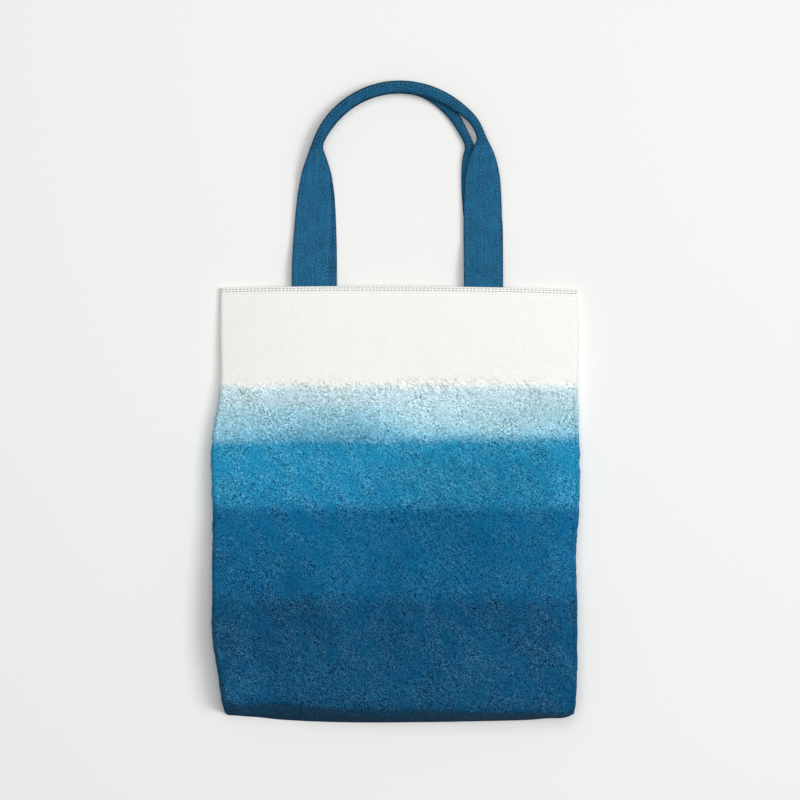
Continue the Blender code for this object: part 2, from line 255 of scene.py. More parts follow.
# Paler and darker places of the cloth, partly the dye's own tone and partly painted light and shade:
# darker and lighter over the folds, lighter along the right edge and darker towards the right across the
# middle blue. Each: where it lies, its length and width as shares of the body's width, its turn from the
# bag's length, and how much lighter or darker it is
Shade = namedtuple("Shade", "across down length width turn_deg amount")
DYE_AND_PAINTED_SHADES = (
    Shade(0.02, 0.255, 0.16, 0.09, 90.0, 0.08),
    Shade(-0.80, 0.250, 0.22, 0.06, 90.0, 0.09),
    Shade(-0.30, 0.335, 0.16, 0.045, 84.0, -0.16),
    Shade(0.30, 0.300, 0.25, 0.10, 90.0, 0.10),
    Shade(-0.58, 0.740, 0.16, 0.070, 28.0, -0.16),
    Shade(-0.03, 0.66, 0.30, 0.050, 2.0, -0.10),
    Shade(0.34, 0.580, 0.20, 0.050, 42.0, -0.10),
    Shade(0.66, 0.800, 0.20, 0.060, 50.0, -0.08),
    Shade(0.95, 0.600, 0.50, 0.045, 0.0, 0.14),
    Shade(-0.82, 0.930, 0.12, 0.060, 20.0, 0.22),
    Shade(0.60, 0.835, 0.12, 0.060, 60.0, 0.10),
    Shade(-0.20, 0.460, 0.30, 0.120, 0.0, 0.04),
    Shade(-0.90, 0.430, 0.35, 0.110, 90.0, 0.10),
    Shade(0.50, 0.430, 0.42, 0.110, 90.0, -0.18),
    Shade(-0.80, 0.610, 0.35, 0.120, 90.0, 0.05),
)


# How strong the grain of the dye and its fine dark cracks are, by how far down the cloth
Level = namedtuple("Level", "down amount")
GRAINS = (
    Level(0.000, 0.006),
    Level(0.212, 0.008),
    Level(0.232, 0.130),
    Level(0.300, 0.160),
    Level(0.345, 0.175),
    Level(0.370, 0.145),
    Level(0.500, 0.145),
    Level(0.520, 0.105),
    Level(0.700, 0.105),
    Level(0.730, 0.110),
)
CRACKS = (
    Level(0.000, 0.06),
    Level(0.200, 0.10),
    Level(0.222, 1.00),
    Level(0.250, 0.80),
    Level(0.310, 0.55),
    Level(0.350, 0.35),
    Level(0.380, 0.22),
    Level(1.000, 0.22),
)


# Soft lamps, each a square that faces the bag: its place and width in metres and its power in watts
Lamp = namedtuple("Lamp", "name place size watts")
LAMPS = (
    Lamp("window", (3.3, 0.2, 4.6), 2.4, 156.0),
    Lamp("ceiling", (-0.05, 0.50, 2.7), 2.0, 35.5),
)


def tote_length(name, description, default):
    """A length of the bag that a user may change."""
    return bpy.props.FloatProperty(
        name=name, description=description, default=default, min=0.0, unit="LENGTH", precision=5
    )


def tote_colour(name, description, red, green, blue):
    """A colour of the bag, given in ordinary 0 to 255 screen values."""
    return bpy.props.FloatVectorProperty(
        name=name,
        description=description,
        default=screen_colour(red, green, blue),
        size=4,
        min=0.0,
        max=1.0,
        subtype="COLOR",
    )


def screen_colour(red, green, blue):
    """The linear colour of ordinary 0 to 255 screen values: a power curve with a straight foot."""
    shares = (value / 255 for value in (red, green, blue))
    linear = (s / 12.92 if s <= 0.04045 else ((s + 0.055) / 1.055) ** 2.4 for s in shares)
    return (*linear, 1.0)


class ToteSizes(bpy.types.PropertyGroup):
    """Sizes of the bag's cloth and stitches that a user would change."""

    crinkle: bpy.props.FloatProperty(
        name="Crinkle", description="How strongly the cloth is crinkled", default=1.0, min=0.0, max=2.0
    )
    hem_pitch: tote_length("Hem stitch pitch", "From one hem stitch to the next", 0.0033)
    hem_stitch: tote_length("Hem stitch", "Length of a hem stitch", 0.0025)
    upper_row: tote_length("Upper row", "From the rim to the upper row of hem stitches", 0.0018)
    lower_row: tote_length("Lower row", "From the rim to the lower row of hem stitches", 0.0040)
    thread: tote_length("Thread", "Thickness of the sewing thread", 0.00048)
    strap_pitch: tote_length("Strap stitch pitch", "From one strap stitch to the next", 0.0036)
    strap_stitch: tote_length("Strap stitch", "Length of a strap stitch", 0.0025)
    groove: tote_length("Groove", "Depth to which a row of stitches pulls the strap in", 0.00035)


class ToteColours(bpy.types.PropertyGroup):
    """Colours of the bag's cloth, thread and floor."""

    hem: tote_colour("Hem", "Undyed cloth of the hem", 246, 246, 243)
    hem_thread: tote_colour("Hem thread", "Dark thread of the hem", 84, 84, 84)
    strap: tote_colour("Strap", "Indigo twill of the handles", 36, 97, 134)
    strap_thread: tote_colour("Strap thread", "Thread of the handles", 96, 152, 182)
    floor: tote_colour("Floor", "Pale floor", 244, 244, 242)


def smooth_table(rows, column, where):
    """A smooth curve through one column of a table: cubic pieces that keep each row's mean slope."""
    table = np.array(rows, float)
    places = table[:, 0]
    values = table[:, rows[0]._fields.index(column)]
    slopes = np.gradient(values, places)
    where = np.clip(np.asarray(where, float), places[0], places[-1])
    low = np.clip(np.searchsorted(places, where, side="right") - 1, 0, len(places) - 2)
    step = places[low + 1] - places[low]
    t = (where - places[low]) / step
    start = (1 + 2 * t) * (1 - t) ** 2 * values[low] + t * (1 - t) ** 2 * step * slopes[low]
    end = t * t * (3 - 2 * t) * values[low + 1] + t * t * (t - 1) * step * slopes[low + 1]
    return start + end


def ease(start, end, where):
    """Runs smoothly from 0 at the start to 1 at the end: three squares less two cubes."""
    t = np.clip((where - start) / (end - start), 0.0, 1.0)
    return t * t * (3 - 2 * t)


def half_width(side, down):
    """Half the width of the sack on one side, side being -1 for left and 1 for right."""
    return BODY_WIDTH / 2 * smooth_table(SECTIONS, "left" if side < 0 else "right", down)


def share_across(x, down):
    """A place across the sack as a share of the half width on its side, from -1 to 1."""
    return np.where(x < 0, x / half_width(-1, down), x / half_width(1, down))


def bell(x, down, spot):
    """A long bell over the front: falls with the squares of the distances along and across the spot."""
    turn = math.radians(spot.turn_deg)
    right = x - spot.across * BODY_WIDTH / 2
    below = (down - spot.down) * BODY_LENGTH
    along = (below * math.cos(turn) + right * math.sin(turn)) / (spot.length * BODY_WIDTH)
    across = (right * math.cos(turn) - below * math.sin(turn)) / (spot.width * BODY_WIDTH)
    return np.exp(-along ** 2 * 2 - across ** 2)


def fold_height(x, down):
    """Height that the soft folds add to the front: a sum of long round-ended ridges and valleys."""
    height = sum(fold.height * BASE_DEPTH * bell(x, down, fold) for fold in FOLDS)
    return height * ease(*FOLDS_BEGIN, down) * (1 - ease(*FOLDS_END, down))


def front_z(x, down):
    """Height of the outer face of the front: an edge height plus a square-shouldered crown."""
    growth = smooth_table(SECTIONS, "growth", down)
    edge = MOUTH_EDGE + (BASE_EDGE - MOUTH_EDGE) * growth
    crown = MOUTH_DEPTH + (BASE_DEPTH - MOUTH_DEPTH) * growth
    share = np.abs(share_across(x, down))
    inside = 1 - ease(*FOLDS_SIDE, share)
    return edge + (crown - edge) * (1 - share ** CROWN_POWER) + fold_height(x, down) * inside


def rim_y(share):
    """The rim of the mouth, a little lower at its ends and most at the right."""
    return MOUTH_Y + RIM_LIFT - RIM_DROP * share ** 2 - RIM_SKEW * share


def fold_y(share):
    """The fold between the front and the base, a little askew and a little wavy."""
    return FOLD_Y - FOLD_SKEW * share - smooth_table(SAGS, "fold", share)


def floor_edge_y(share):
    """The base's lower edge, which bows out in the middle, sags at its corners and is rounded there."""
    drop = BASE_BOW * np.abs(share) ** BOW_POWER + CORNER_DROP * np.abs(share) ** CORNER_POWER
    return BASE_Y + drop - smooth_table(SAGS, "floor", share)


def wall_y(share, down, rise, inset):
    """Place along the bag of a point of the wall, whose rise is 0 on the back and 1 on the front."""
    end = floor_edge_y(share) + (fold_y(share) - floor_edge_y(share)) * rise + inset
    return rim_y(share) + (end - rim_y(share)) * down


def panel_columns():
    """Places across a panel from -1 to 1, a mean of even steps and of a sine that crowds the edges."""
    even = np.linspace(-1, 1, PANEL_COLUMNS)
    return 0.65 * even + 0.35 * np.sin(even * math.pi / 2)


def sack_rings(downs, insets):
    """Sections of the sack as a grid of rows by ring points: front, right side, back and left side.

    Each row is one section at a place down and an inset from the outer face. The front follows the
    crown, the back lies on the floor, and each side is half an ellipse between them.
    """
    down = np.asarray(downs, float)[:, None]
    inset = np.broadcast_to(np.asarray(insets, float), down.shape[:1])[:, None]
    spread = panel_columns()[None]
    left = half_width(-1, down)
    right = half_width(1, down)
    x = np.where(spread < 0, spread * (left - SIDE_ROUND), spread * (right - SIDE_ROUND))
    share = share_across(x, down)
    front = np.stack([x, wall_y(share, down, 1.0, inset), front_z(x, down) - inset], axis=2)
    back = np.stack([x, wall_y(share, down, 0.0, inset), np.zeros_like(x) + inset], axis=2)
    turn = np.linspace(math.pi / 2, -math.pi / 2, SIDE_POINTS + 2)[None, 1:-1]
    rise = (1 + np.sin(turn)) / 2
    sides = []
    for sign, end in ((1, -1), (-1, 0)):
        side_x = x[:, [end]] + sign * (SIDE_ROUND - inset) * np.cos(turn)
        top = front_z(x[:, [end]], down)
        side_z = top / 2 + (top / 2 - inset) * np.sin(turn)
        side_y = wall_y(share_across(side_x, down), down, rise, inset)
        sides.append(np.stack([side_x, side_y, side_z], axis=2))
    return np.concatenate([front, sides[0], back[:, ::-1], sides[1][:, ::-1]], axis=1)


def ring_parts(ring):
    """One ring's front, right side, back and left side, each from left to right or from top to floor."""
    edge = PANEL_COLUMNS + SIDE_POINTS
    front = ring[:PANEL_COLUMNS]
    back = ring[edge : edge + PANEL_COLUMNS][::-1]
    return front, ring[PANEL_COLUMNS:edge], back, ring[edge + PANEL_COLUMNS :][::-1]


def base_points(last):
    """Rows inside the base panel: from the front fold to the floor edge, with a slight outward bulge."""
    front, _, back, _ = ring_parts(last)
    turn = (math.pi / 2 - math.pi * np.arange(1, SIDE_POINTS + 1) / (SIDE_POINTS + 1))[:, None, None]
    rise = (1 + np.sin(turn)) / 2
    rows = back + (front - back) * rise
    share = share_across(front[:, 0], 1.0)
    rows[:, :, 1] -= BASE_BULGE * 4 * (rise * (1 - rise))[:, :, 0] * (1 - share ** 2)
    return rows[:, 1:-1]


def base_grid(last, first):
    """Point numbers of the base panel as a grid: front fold, rows inside and floor edge."""
    front, right, back, left = ring_parts(last)
    inner = first + np.arange(SIDE_POINTS * (PANEL_COLUMNS - 2)).reshape(SIDE_POINTS, -1)
    middle = np.concatenate([left[:, None], inner, right[:, None]], axis=1)
    return np.concatenate([front[None], middle, back[None]])


def grid_quads(index):
    """Quads between neighbouring rows and columns of a grid of point numbers."""
    corners = [index[:-1, :-1], index[:-1, 1:], index[1:, 1:], index[1:, :-1]]
    return np.stack(corners, axis=-1).reshape(-1, 4)


def closed_round(index):
    """The grid with its first column once more at its end, so that its quads close round."""
    return np.concatenate([index, index[:, :1]], axis=1)


def net_noise(points, cell, seed):
    """Smooth noise of about -1 to 1: at each corner of a cubic net a slope of its own, faded between."""
    random = np.random.default_rng(seed)
    slopes = random.normal(size=(512, 3))
    slopes /= np.linalg.norm(slopes, axis=1, keepdims=True)
    order = random.permutation(512)
    place = points / cell
    corner = np.floor(place).astype(int)
    within = place - corner
    fade = within ** 3 * (within * (within * 6 - 15) + 10)
    total = np.zeros(points.shape[:-1])
    for offset in itertools.product((0, 1), repeat=3):
        x, y, z = np.moveaxis(corner + offset, -1, 0)
        slope = slopes[order[(order[(order[x & 511] + y) & 511] + z) & 511]]
        weight = np.where(offset, fade, 1 - fade).prod(axis=-1)
        total += ((within - offset) * slope).sum(axis=-1) * weight
    return total * 1.6


def along_the_grain(points, stretch):
    """Places in a net that is turned to the cloth's falling diagonal and stretched along it."""
    along = (points[..., 0] - points[..., 1]) / math.sqrt(2) / stretch
    across = (points[..., 0] + points[..., 1]) / math.sqrt(2)
    return np.stack([along, across, points[..., 2]], axis=-1)


def crinkle_height(points):
    """Relief of the cloth: sharp ridges where each layer of noise passes through zero, summed."""
    bend = np.stack([net_noise(points, 0.05, seed) for seed in (5, 6, 7)], axis=-1) * 0.012
    where = along_the_grain(points + bend, CRINKLE_STRETCH)
    height = np.zeros(points.shape[:-1])
    for layer in CRINKLES:
        noise = net_noise(where, layer.cell, layer.seed)
        ridge = (1 - np.clip(np.abs(noise) * 2.4, 0, 1)) ** 2
        height += layer.height * (ridge - 0.22 + 0.5 * noise)
    return height


def outward(grid):
    """Unit normals of a ring grid: the product of its slopes down the rows and round the ring."""
    down = np.gradient(grid, axis=0)
    round_it = np.roll(grid, -1, axis=1) - np.roll(grid, 1, axis=1)
    normal = np.cross(down, round_it)
    return normal / np.maximum(np.linalg.norm(normal, axis=2, keepdims=True), 1e-12)


def dye_depth(points):
    """How far down the dyed cloth a point lies, less its lag: straight pieces between the lags' depths."""
    down = (MOUTH_Y - points[:, 1]) / BODY_LENGTH
    share = np.clip(points[:, 0] / (BODY_WIDTH / 2), -1, 1)
    lag = np.zeros_like(down)
    for depth, column in enumerate(("top", "middle", "foot", "step"), start=1):
        before, here, after = LAG_DEPTHS[depth - 1 : depth + 2]
        part = np.interp(down, (before, here, after), (0.0, 1.0, 0.0))
        lag += part * smooth_table(LAGS, column, share)
    return down - lag


def dye_and_painted_shade(points):
    """How much lighter or darker the cloth is than its dye step: a sum of long bells, partly dye tone and
    partly painted light and shade.
    """
    down = (MOUTH_Y - points[:, 1]) / BODY_LENGTH
    return sum(spot.amount * bell(points[:, 0], down, spot) for spot in DYE_AND_PAINTED_SHADES) * ease(0.215, 0.240, down)


def new_piece(name, points, faces, material, attributes=()):
    """A closed mesh piece with outward faces, a material and float attributes, on the bag's body."""
    mesh = bpy.data.meshes.new(name)
    mesh.from_pydata(points.tolist(), [], faces)
    shell = bmesh.new()
    shell.from_mesh(mesh)
    bmesh.ops.recalc_face_normals(shell, faces=shell.faces)
    shell.to_mesh(mesh)
    shell.free()
    mesh.shade_smooth()
    mesh.materials.append(material)
    for label, values in attributes:
        kind = "FLOAT_VECTOR" if values.ndim == 2 else "FLOAT"
        layer = mesh.attributes.new(label, kind, "POINT")
        field = "vector" if values.ndim == 2 else "value"
        layer.data.foreach_set(field, values.astype(np.float32).ravel())
    piece = bpy.data.objects.new(name, mesh)
    bpy.context.scene.collection.objects.link(piece)
    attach(piece, "root")
    return piece


def new_tree(name, roughness):
    """A material with one cloth shader: its nodes' tree and that shader."""
    material = bpy.data.materials.new(name)
    material.use_nodes = True
    shader = material.node_tree.nodes["Principled BSDF"]
    shader.inputs["Roughness"].default_value = roughness
    shader.inputs["Metallic"].default_value = 0.0
    shader.inputs["IOR"].default_value = 1.12
    return material, material.node_tree, shader


def add_node(tree, kind, inputs, **settings):
    """A new node with its settings, its inputs given by name or number as values or as other outputs."""
    made = tree.nodes.new(kind)
    for name, value in settings.items():
        setattr(made, name, value)
    for name, value in inputs.items():
        if isinstance(value, bpy.types.NodeSocket):
            tree.links.new(value, made.inputs[name])
        else:
            made.inputs[name].default_value = value
    return made


def maths(tree, operation, first, second=0.0, third=0.0):
    """The output of one Math node."""
    inputs = {0: first, 1: second, 2: third}
    return add_node(tree, "ShaderNodeMath", inputs, operation=operation).outputs[0]


def noise(tree, place, scale, detail, roughness=0.5):
    """The grey output of a noise texture at a place."""
    inputs = {"Vector": place, "Scale": scale, "Detail": detail, "Roughness": roughness}
    return add_node(tree, "ShaderNodeTexNoise", inputs).outputs["Fac"]


def cloth_place(tree, turn_deg, scale):
    """Object coordinates turned about the bag's thickness, then drawn out along the turned axes."""
    place = add_node(tree, "ShaderNodeTexCoord", {}).outputs["Object"]
    inputs = {"Vector": place, "Rotation": (0, 0, math.radians(turn_deg)), "Scale": scale}
    return add_node(tree, "ShaderNodeMapping", inputs, vector_type="TEXTURE").outputs[0]


def lighter(tree, colour, factor):
    """A colour times a grey factor."""
    inputs = {"Factor": 1.0, "A": colour, "B": factor}
    mix = add_node(tree, "ShaderNodeMix", {}, data_type="RGBA", blend_type="MULTIPLY")
    mix.inputs[0].default_value = inputs["Factor"]
    tree.links.new(inputs["A"], mix.inputs[6])
    tree.links.new(inputs["B"], mix.inputs[7])
    return mix.outputs[2]


def speckled(tree, colour, grain):
    """A colour with a grey grain added as the eye sees it: between two gamma curves."""
    seen = add_node(tree, "ShaderNodeGamma", {"Color": colour, "Gamma": 1 / 2.2}).outputs[0]
    mix = add_node(tree, "ShaderNodeMix", {6: seen, 7: grain}, data_type="RGBA", blend_type="ADD")
    mix.inputs[0].default_value = 1.0
    return add_node(tree, "ShaderNodeGamma", {"Color": mix.outputs[2], "Gamma": 2.2}).outputs[0]


def table_ramp(tree, where, rows):
    """The colour, or the grey, of a table's rows at a place down the cloth, straight between rows."""
    ramp = add_node(tree, "ShaderNodeValToRGB", {0: where})
    stops = ramp.color_ramp.elements
    for position, row in enumerate(rows):
        stop = stops[position] if position < 2 else stops.new(row.down)
        stop.position = row.down
        stop.color = screen_colour(*row[1:]) if len(row) == 4 else (row.amount,) * 3 + (1.0,)
    return ramp.outputs[0]


def dyed_cloth():
    """Matt crinkled cloth whose dye darkens in steps, with grain in the dye and in the relief."""
    material, tree, shader = new_tree("dyed_cloth", 0.88)
    grain_place = cloth_place(tree, -45.0, (1.9, 1.0, 1.0))
    depth = add_node(tree, "ShaderNodeAttribute", {}, attribute_name="dye_depth").outputs["Fac"]
    shade = add_node(tree, "ShaderNodeAttribute", {}, attribute_name="dye_and_painted_shade").outputs["Fac"]

    blotch = noise(tree, grain_place, 160.0, 5.0, 0.7)
    soak = maths(tree, "MULTIPLY_ADD", blotch, 0.022, -0.011)
    ramp = table_ramp(tree, maths(tree, "ADD", depth, soak), DYES)
    strength = table_ramp(tree, depth, GRAINS)
    fine = noise(tree, grain_place, 2000.0, 2.0, 0.7)
    stroke = noise(tree, grain_place, 480.0, 2.0, 0.5)
    cloud = noise(tree, grain_place, 40.0, 3.0, 0.5)
    grain = maths(tree, "MULTIPLY_ADD", fine, 17.0, -8.5)
    grain = maths(tree, "ADD", grain, maths(tree, "MULTIPLY_ADD", stroke, 2.6, -1.3))
    grain = maths(tree, "ADD", grain, maths(tree, "MULTIPLY_ADD", cloud, 0.8, -0.4))
    # Bends the grain so that its dark lines reach further than its light specks.
    grain = maths(tree, "MINIMUM", grain, 2.6)
    bent = maths(tree, "MULTIPLY", maths(tree, "MULTIPLY", grain, grain), 0.16)
    grain = maths(tree, "ADD", maths(tree, "SUBTRACT", grain, bent), 0.16)
    busy = maths(tree, "MULTIPLY_ADD", noise(tree, grain_place, 75.0, 2.0, 0.6), 3.6, -0.75)
    busy = maths(tree, "MINIMUM", maths(tree, "MAXIMUM", busy, 0.5), 1.6)
    # Light gathers where the grain is busy, so its middle is lowered there with the square of its strength.
    level = maths(tree, "MULTIPLY_ADD", maths(tree, "MULTIPLY", busy, busy), -0.20, 0.20)
    grain = maths(tree, "ADD", maths(tree, "MULTIPLY", grain, busy), level)
    grain = maths(tree, "MULTIPLY", grain, strength)

    crack_place = cloth_place(tree, -38.0, (1.6, 1.0, 1.0))
    net = noise(tree, crack_place, 170.0, 3.0, 0.6)
    line = maths(tree, "MULTIPLY_ADD", maths(tree, "ABSOLUTE", maths(tree, "SUBTRACT", net, 0.5)), -34.0, 1.0)
    patch = maths(tree, "MULTIPLY_ADD", noise(tree, crack_place, 36.0, 2.0), 6.0, -2.5)
    patch = maths(tree, "MINIMUM", maths(tree, "MAXIMUM", patch, 0.0), 1.0)
    crack = maths(tree, "MULTIPLY", maths(tree, "MAXIMUM", line, 0.0), patch)
    crack = maths(tree, "MULTIPLY", crack, table_ramp(tree, depth, CRACKS))

    # The factor holds the cloth's shade attribute, which is partly dye tone and partly painted light and
    # shade, less the dark cracks.
    factor = maths(tree, "SUBTRACT", maths(tree, "ADD", shade, 1.0), maths(tree, "MULTIPLY", crack, 0.60))
    factor = maths(tree, "MAXIMUM", factor, 0.15)
    grain = maths(tree, "MULTIPLY", grain, maths(tree, "MULTIPLY_ADD", factor, 0.5, 0.5))
    tree.links.new(speckled(tree, lighter(tree, ramp, factor), grain), shader.inputs["Base Color"])

    height = maths(tree, "ADD", maths(tree, "MULTIPLY", fine, 0.4), maths(tree, "MULTIPLY", stroke, 0.6))
    bump = add_node(
        tree, "ShaderNodeBump", {"Strength": 0.40, "Distance": 0.0008, "Height": height}
    )
    tree.links.new(bump.outputs[0], shader.inputs["Normal"])
    return material


def undyed_cloth(colour):
    """White matt cloth with a faint weave."""
    material, tree, shader = new_tree("undyed_cloth", 0.85)
    weave_place = cloth_place(tree, 0.0, (1.0, 1.0, 1.0))
    fine = noise(tree, weave_place, 900.0, 2.0)
    base = add_node(tree, "ShaderNodeRGB", {})
    base.outputs[0].default_value = colour
    factor = maths(tree, "MULTIPLY_ADD", fine, 0.05, 0.975)
    tree.links.new(lighter(tree, base.outputs[0], factor), shader.inputs["Base Color"])
    bump = add_node(tree, "ShaderNodeBump", {"Strength": 0.25, "Distance": 0.0003, "Height": fine})
    tree.links.new(bump.outputs[0], shader.inputs["Normal"])
    return material


def indigo_twill(colour):
    """Dyed twill: fine slanting ribs, streaks along the strap and lighter specks."""
    material, tree, shader = new_tree("indigo_twill", 0.82)
    place = add_node(tree, "ShaderNodeAttribute", {}, attribute_name="strap_place").outputs["Vector"]
    ribs_place = add_node(
        tree, "ShaderNodeMapping", {"Vector": place, "Rotation": (0, 0, math.radians(63.0))}
    ).outputs[0]
    ribs = add_node(
        tree, "ShaderNodeTexWave",
        {"Vector": ribs_place, "Scale": 150.0, "Distortion": 1.5, "Detail": 2.0, "Detail Scale": 3.0},
        wave_type="BANDS", bands_direction="X",
    ).outputs["Fac"]
    streak_place = add_node(
        tree, "ShaderNodeMapping", {"Vector": place, "Scale": (0.22, 1.0, 1.0)}
    ).outputs[0]
    streaks = noise(tree, streak_place, 620.0, 3.0, 0.6)
    specks = noise(tree, place, 1100.0, 2.0, 0.7)
    cloud = noise(tree, place, 60.0, 2.0, 0.5)
    grain = maths(tree, "MULTIPLY_ADD", streaks, 0.8, -0.4)
    grain = maths(tree, "ADD", grain, maths(tree, "MULTIPLY_ADD", specks, 3.6, -1.8))
    grain = maths(tree, "ADD", grain, maths(tree, "MULTIPLY_ADD", cloud, 0.5, -0.25))
    grain = maths(tree, "ADD", grain, maths(tree, "MULTIPLY_ADD", ribs, 0.16, -0.08))
    # Painted shade along the straps' edges and stitch rows, and the darker grip, taken off the twill's
    # factor.
    dark = add_node(tree, "ShaderNodeAttribute", {}, attribute_name="strap_shade_and_grip_tone").outputs["Fac"]
    factor = maths(tree, "SUBTRACT", maths(tree, "MULTIPLY_ADD", grain, 1.25, 1.0), dark)
    factor = maths(tree, "MAXIMUM", factor, 0.2)
    base = add_node(tree, "ShaderNodeRGB", {})
    base.outputs[0].default_value = colour
    tree.links.new(lighter(tree, base.outputs[0], factor), shader.inputs["Base Color"])
    height = maths(tree, "ADD", maths(tree, "MULTIPLY", ribs, 0.5), maths(tree, "MULTIPLY", specks, 0.5))
    bump = add_node(tree, "ShaderNodeBump", {"Strength": 0.5, "Distance": 0.0003, "Height": height})
    tree.links.new(bump.outputs[0], shader.inputs["Normal"])
    return material


def sewing_thread(name, colour):
    """Matt twisted thread: fine slanting plies in its relief and its shade."""
    material, tree, shader = new_tree(name, 0.7)
    place = cloth_place(tree, 30.0, (1.0, 1.0, 1.0))
    plies = noise(tree, place, 1500.0, 1.0)
    base = add_node(tree, "ShaderNodeRGB", {})
    base.outputs[0].default_value = colour
    factor = maths(tree, "MULTIPLY_ADD", plies, 0.5, 0.75)
    tree.links.new(lighter(tree, base.outputs[0], factor), shader.inputs["Base Color"])
    bump = add_node(tree, "ShaderNodeBump", {"Strength": 0.3, "Distance": 0.0001, "Height": plies})
    tree.links.new(bump.outputs[0], shader.inputs["Normal"])
    return material


def thread_stitches(centres, along, up, length, thread):
    """Points and faces of many stitches: each a short thread that arches up and dips at its ends.

    A stitch is a tube of six sides on five rings. A ring's centre lies at a share of the stitch's length,
    lowered with the square of that share, and its radius shrinks towards the ends.
    """
    along = along / np.linalg.norm(along, axis=1, keepdims=True)
    across = np.cross(up, along)
    across /= np.linalg.norm(across, axis=1, keepdims=True)
    up = np.cross(along, across)
    share = np.array([-1.0, -0.72, 0.0, 0.72, 1.0])[None, :, None, None]
    radius = np.array([0.30, 0.85, 1.0, 0.85, 0.30])[None, :, None, None] * thread / 2
    turn = (np.arange(6) * math.pi / 3)[None, None, :, None]
    points = centres[:, None, None] + along[:, None, None] * share * length / 2
    points = points - up[:, None, None] * share ** 2 * thread * 0.55
    points = points + across[:, None, None] * np.cos(turn) * radius
    points = points + up[:, None, None] * np.sin(turn) * radius
    count = len(centres)
    index = np.arange(count * 30).reshape(count, 5, 6)
    wrapped = np.concatenate([index, index[:, :, :1]], axis=2)
    corners = [wrapped[:, :-1, :-1], wrapped[:, :-1, 1:], wrapped[:, 1:, 1:], wrapped[:, 1:, :-1]]
    quads = np.stack(corners, axis=-1).reshape(-1, 4).tolist()
    ends = np.concatenate([index[:, 0, ::-1], index[:, -1]]).tolist()
    return points.reshape(-1, 3), quads + ends


class TOTE_OT_body(bpy.types.Operator):
    """Makes the crinkled sack: an outer skin with its relief, a lining and the boxed base"""

    bl_idname = "tote_bag.make_body"
    bl_label = "Make the body"

    def execute(self, context):
        sizes = context.scene.tote_sizes
        tucked = (HEM_HEIGHT * 0.45) / BODY_LENGTH
        hem_end = HEM_HEIGHT / BODY_LENGTH
        downs = np.linspace(tucked, 1, CLOTH_ROWS)
        insets = 0.0009 * (1 - ease(hem_end * 0.9, hem_end * 1.25, downs))
        skin = sack_rings(downs, insets)
        down = downs[:, None]
        share = np.abs(share_across(skin[..., 0], down))
        depth = (MOUTH_Y - skin[..., 1]) / BODY_LENGTH
        strength = 0.16 + 0.84 * ease(0.20, 0.30, depth)
        strength = strength * ease(hem_end, hem_end + 0.03, down) * (1 - 0.8 * ease(0.985, 1.0, down))
        relief = crinkle_height(skin) * strength * sizes.crinkle
        back = skin[..., 2] < 0.002
        relief = np.where(back, -np.abs(relief) * 0.4, relief)
        from_right = half_width(1, down) - skin[..., 0]
        crease = np.exp(-((from_right - 0.0040) / 0.0010) ** 2) * ease(0.22, 0.26, down)
        relief = relief - 0.00035 * crease * (1 - ease(0.97, 1.0, down)) * (~back)
        skin = skin + outward(skin) * relief[..., None]
        skin[..., 2] = np.maximum(skin[..., 2], 0.0)
        lining = sack_rings(np.linspace(tucked, 1, LINING_ROWS), WALL)

        points = []
        faces = []
        rims = []
        for grid in (skin, lining):
            start = sum(len(block) for block in points)
            index = start + np.arange(grid.shape[0] * grid.shape[1]).reshape(grid.shape[:2])
            inner = base_points(grid[-1])
            points += [grid.reshape(-1, 3), inner.reshape(-1, 3)]
            faces += grid_quads(closed_round(index)).tolist()
            faces += grid_quads(base_grid(index[-1], start + index.size)).tolist()
            rims.append(index[0])
        faces += grid_quads(closed_round(np.stack(rims))).tolist()
        points = np.concatenate(points)
        shade = dye_and_painted_shade(points)
        # Painted shade: a soft dark band on the front just above its fold to the base.
        painted_fold_shade = 0.16 * ease(0.972, 1.0, down)
        # Painted shade on the front: a thin dark line in the crease near the right edge, plus the band above
        # the fold.
        shade[: crease.size] -= ((0.22 * crease + painted_fold_shade) * ~back).ravel()
        # Painted shade on the base panel, which turns away from the light: less at the fold, more at the
        # floor edge.
        painted_base_shade = np.repeat(np.linspace(0.22, 0.56, SIDE_POINTS), PANEL_COLUMNS - 2)
        shade[crease.size :][: painted_base_shade.size] -= painted_base_shade
        attributes = (("dye_depth", dye_depth(points)), ("dye_and_painted_shade", shade))
        body = new_piece("body_cloth", points, faces, dyed_cloth(), attributes)
        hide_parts("bag_body")
        return {"FINISHED"}


